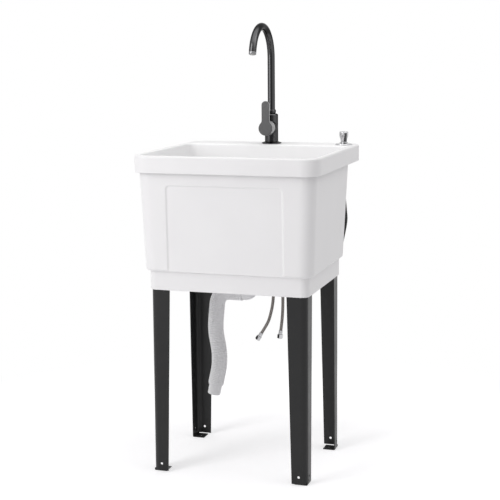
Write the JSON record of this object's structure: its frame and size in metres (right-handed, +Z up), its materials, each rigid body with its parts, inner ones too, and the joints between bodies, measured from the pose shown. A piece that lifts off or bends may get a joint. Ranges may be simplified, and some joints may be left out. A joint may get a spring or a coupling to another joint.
{
  "type": "utility laundry sink",
  "caption": "Free-standing utility laundry sink: white moulded tub on angled black steel legs, with single-lever gooseneck faucet, side sprayer, basket strainer and flexible drain hose.",
  "frame": {"origin": "on the floor, under the middle of the tub's rim", "axes": "+X to the right of someone standing at the sink, +Y back to the wall, +Z up; -Y is the front"},
  "size_m": [0.508, 0.506, 1.208],
  "materials": {
    "tub_plastic": "moulded white polypropylene, satin, fine even grain",
    "leg_steel": "black powder coat, fine satin texture",
    "faucet_black": "gloss black coating with crisp highlights",
    "handle_black": "satin black coating, slightly lighter where it faces the light",
    "chrome": "polished",
    "stainless": "satin stainless steel",
    "brass": "turned, unplated",
    "rubber": "matt black sealing rubber",
    "hose_rubber": "smooth black hose, slight sheen",
    "drain_plastic": "light grey moulded plastic, satin",
    "acetal": "off-white engineering plastic",
    "braid": "woven stainless wire braid"
  },
  "bodies": {
    "sink": {"tub": "tub_plastic", "leg_front_left": "leg_steel", "leg_front_right": "leg_steel", "leg_back_left": "leg_steel", "leg_back_right": "leg_steel", "faucet_gasket": "rubber", "faucet_base_plate": "faucet_black", "faucet_body": "faucet_black", "faucet_shank": "brass", "shank_rubber_washer": "rubber", "shank_steel_washer": "stainless", "shank_nut": "brass", "cartridge_body": "acetal", "cartridge_dome_nut": "chrome", "sprayer_holder": "chrome", "sprayer_holder_washer": "rubber", "sprayer_holder_nut": "acetal", "sprayer_hose": "hose_rubber", "supply_hose_left": "braid", "supply_hose_right": "braid", "supply_ferrule_left": "chrome", "supply_ferrule_right": "chrome", "supply_nut_left": "chrome", "supply_nut_right": "chrome", "strainer_body": "stainless", "strainer_washer": "rubber", "strainer_lock_nut": "drain_plastic", "drain_elbow": "drain_plastic", "drain_slip_nut": "drain_plastic", "slip_washer": "rubber", "drain_hose": "drain_plastic", "drain_cuff": "drain_plastic"},
    "spout_assembly": {"spout": "faucet_black", "spout_collar": "faucet_black", "spout_seal_lower": "rubber", "spout_seal_upper": "rubber", "aerator_housing": "chrome", "aerator_screen": "acetal"},
    "turret": {"cartridge_turret": "acetal", "stem_pin": "stainless"},
    "lever": {"lever_stem": "brass", "handle": "handle_black", "handle_set_screw": "stainless"},
    "sprayer": {"sprayer_body": "chrome", "sprayer_face": "handle_black", "sprayer_valve": "acetal", "trigger_pin": "stainless", "sprayer_coupling": "handle_black"},
    "trigger": {"sprayer_trigger": "faucet_black"},
    "basket": {"strainer_basket": "stainless", "basket_knob": "stainless"}
  },
  "joints": [
    {"name": "spout_swivel", "type": "hinge", "parent": "sink", "child": "spout_assembly", "pos_m": [0, 0.196, 0.95], "axis": [0, 0, 1], "continuous": true},
    {"name": "temperature", "type": "hinge", "parent": "sink", "child": "turret", "pos_m": [0, 0.163, 0.911], "axis": [0, 1, 0], "range_deg": [-45, 45]},
    {"name": "flow", "type": "hinge", "parent": "turret", "child": "lever", "pos_m": [0, 0.163, 0.911], "axis": [1, 0, 0], "range_deg": [0, 20]},
    {"name": "sprayer_lift", "type": "slide", "parent": "sink", "child": "sprayer", "axis": [0, 0, 1], "range_m": [0, 0.25]},
    {"name": "trigger_press", "type": "hinge", "parent": "sprayer", "child": "trigger", "pos_m": [0.22028, 0.18796, 0.894], "axis": [0.788, 0.6157, 0], "range_deg": [0, 8], "stiffness_Nm_per_rad": 0.15, "springref_deg": -5.73},
    {"name": "basket_lift", "type": "slide", "parent": "sink", "child": "basket", "axis": [0, 0, 1], "range_m": [0, 0.12]}
  ]
}
